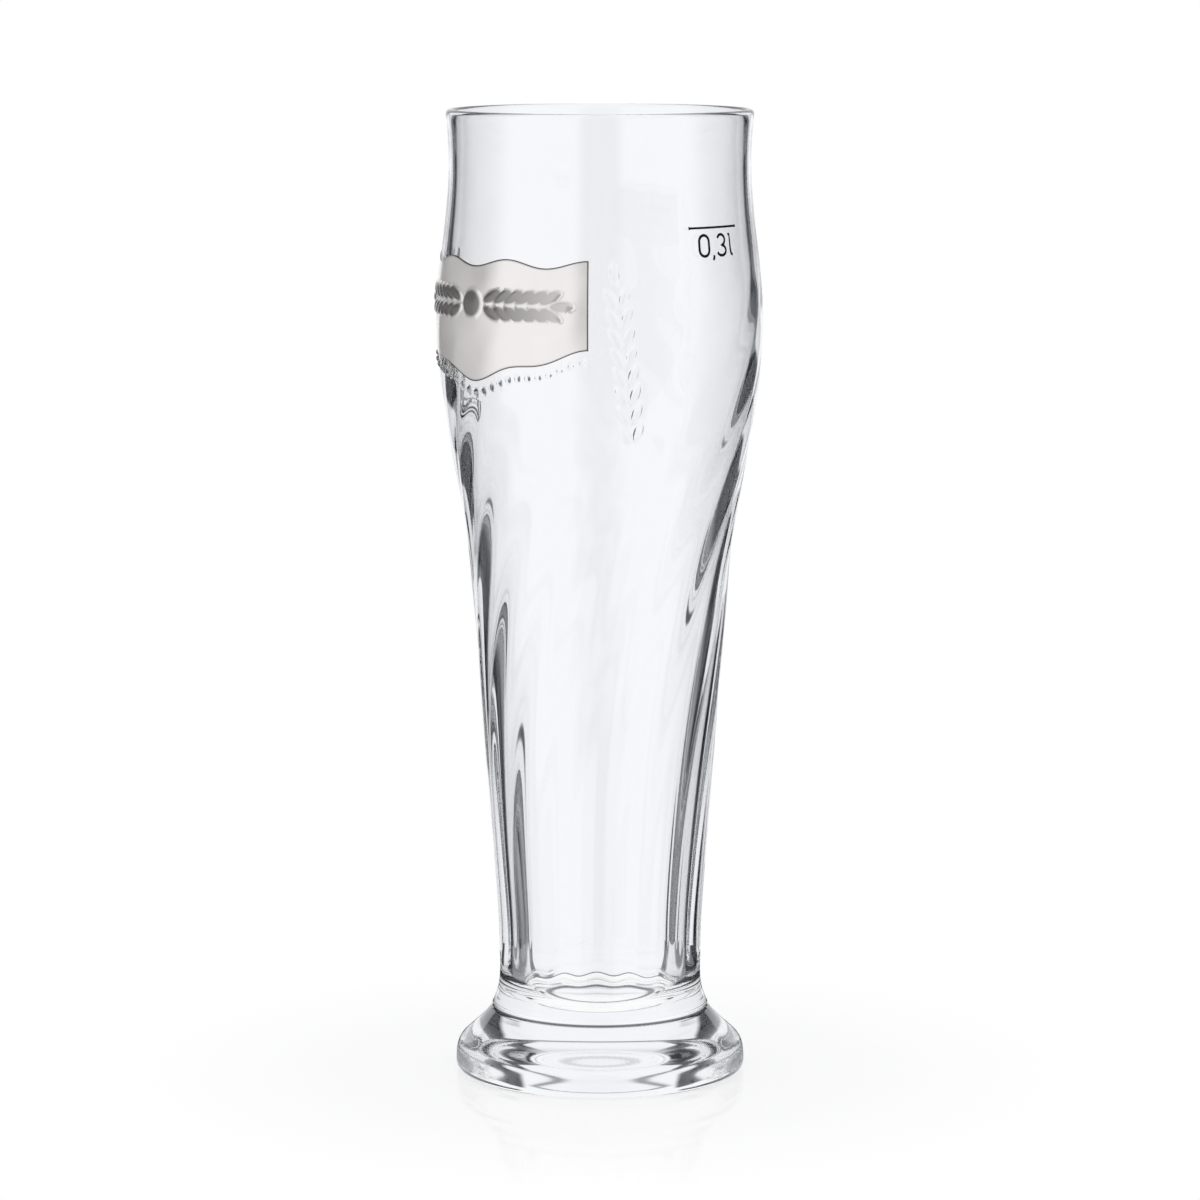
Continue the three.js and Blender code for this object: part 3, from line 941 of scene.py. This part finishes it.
def floor_material(studio):
    """A white table with the glass's shadow and a faint mirror image, and the walls' glow for the glass."""
    material, sheet = new_material("white_table")
    coordinates = sheet.object_coordinates()
    distance = sheet.distance(coordinates)
    azimuth = panel_azimuth(sheet, sheet.axes(coordinates))
    walls = studio_walls(sheet, azimuth, STRAIGHT_DOWN, studio)
    glow = sheet.blend(sheet.ramp(distance, *TABLE_WALLS), WHITE, walls)
    glossy = sheet.add("ShaderNodeLightPath").outputs["Is Glossy Ray"]
    near = sheet.ramp(distance, *TABLE_FADE, to_low=1.0, to_high=0.0)
    shown = sheet.maths("MULTIPLY", near, sheet.maths("SUBTRACT", 1.0, glossy))
    white = sheet.add("ShaderNodeEmission", Color=sheet.blend(glossy, WHITE, glow), Strength=1.0)
    lit = sheet.add("ShaderNodeBsdfDiffuse", Color=(0.98, 0.98, 0.98, 1.0))
    mirror = sheet.add("ShaderNodeBsdfGlossy", Roughness=0.05)
    table = sheet.blend_shaders(sheet.maths("MULTIPLY", shown, TABLE_SHADOW), white, lit)
    sheet.finish(sheet.blend_shaders(sheet.maths("MULTIPLY", shown, TABLE_MIRROR), table, mirror))
    return material


TABLE_SEGMENTS = 96
GLASS_BOUNCES = 32
GLOSSY_BOUNCES = 16


class GLASS_OT_studio(bpy.types.Operator):
    """Sets up the white table, the light and the camera"""

    bl_idname = "glass.studio"
    bl_label = "White Studio"

    def execute(self, context):
        scene = context.scene
        studio = scene.glass_studio
        studio_world(studio)
        bm = bmesh.new()
        bmesh.ops.create_circle(bm, cap_ends=True, segments=TABLE_SEGMENTS, radius=studio.floor_radius)
        table = new_object("table", bm, floor_material(studio))
        camera = bpy.data.cameras.new("photo_camera")
        camera.sensor_width = 36.0
        camera.lens = studio.camera_lens
        camera.clip_start = 0.01
        viewer = bpy.data.objects.new("photo_camera", camera)
        viewer.location = (0.0, -studio.camera_distance, studio.camera_height)
        viewer.rotation_euler = (math.pi / 2 - studio.camera_tilt, 0.0, 0.0)
        scene.collection.objects.link(viewer)
        scene.camera = viewer
        scene.view_settings.view_transform = "Standard"
        scene.cycles.max_bounces = GLASS_BOUNCES
        scene.cycles.transmission_bounces = GLASS_BOUNCES
        scene.cycles.glossy_bounces = GLOSSY_BOUNCES
        return {"FINISHED"}


class GLASS_PT_panel(bpy.types.Panel):
    """Lists the steps that build the glass and its studio"""

    bl_idname = "GLASS_PT_panel"
    bl_label = "Wheat Beer Glass"
    bl_space_type = "VIEW_3D"
    bl_region_type = "UI"
    bl_category = "Glass"

    def draw(self, context):
        column = self.layout.column()
        for operator in OPERATORS:
            column.operator(operator.bl_idname)
        for key in SETTINGS:
            group = getattr(context.scene, key)
            box = self.layout.box()
            for name in group.bl_rna.properties.keys():
                if name not in ("rna_type", "name"):
                    box.prop(group, name)


SETTINGS = {
    "glass_vessel": VesselSizes,
    "glass_label": LabelSizes,
    "glass_mark": MarkSizes,
    "glass_studio": StudioSettings,
}
OPERATORS = (GLASS_OT_vessel, GLASS_OT_label, GLASS_OT_fill_mark, GLASS_OT_studio)


def register():
    for group in SETTINGS.values():
        bpy.utils.register_class(group)
    for key, group in SETTINGS.items():
        setattr(bpy.types.Scene, key, PointerProperty(type=group))
    for part in (*OPERATORS, GLASS_PT_panel):
        bpy.utils.register_class(part)


def unregister():
    for part in (GLASS_PT_panel, *reversed(OPERATORS)):
        bpy.utils.unregister_class(part)
    for key, group in reversed(SETTINGS.items()):
        delattr(bpy.types.Scene, key)
        bpy.utils.unregister_class(group)


def main():
    register()
    bpy.ops.glass.vessel()
    bpy.ops.glass.label()
    bpy.ops.glass.fill_mark()
    bpy.ops.glass.studio()


if __name__ == "__main__":
    main()
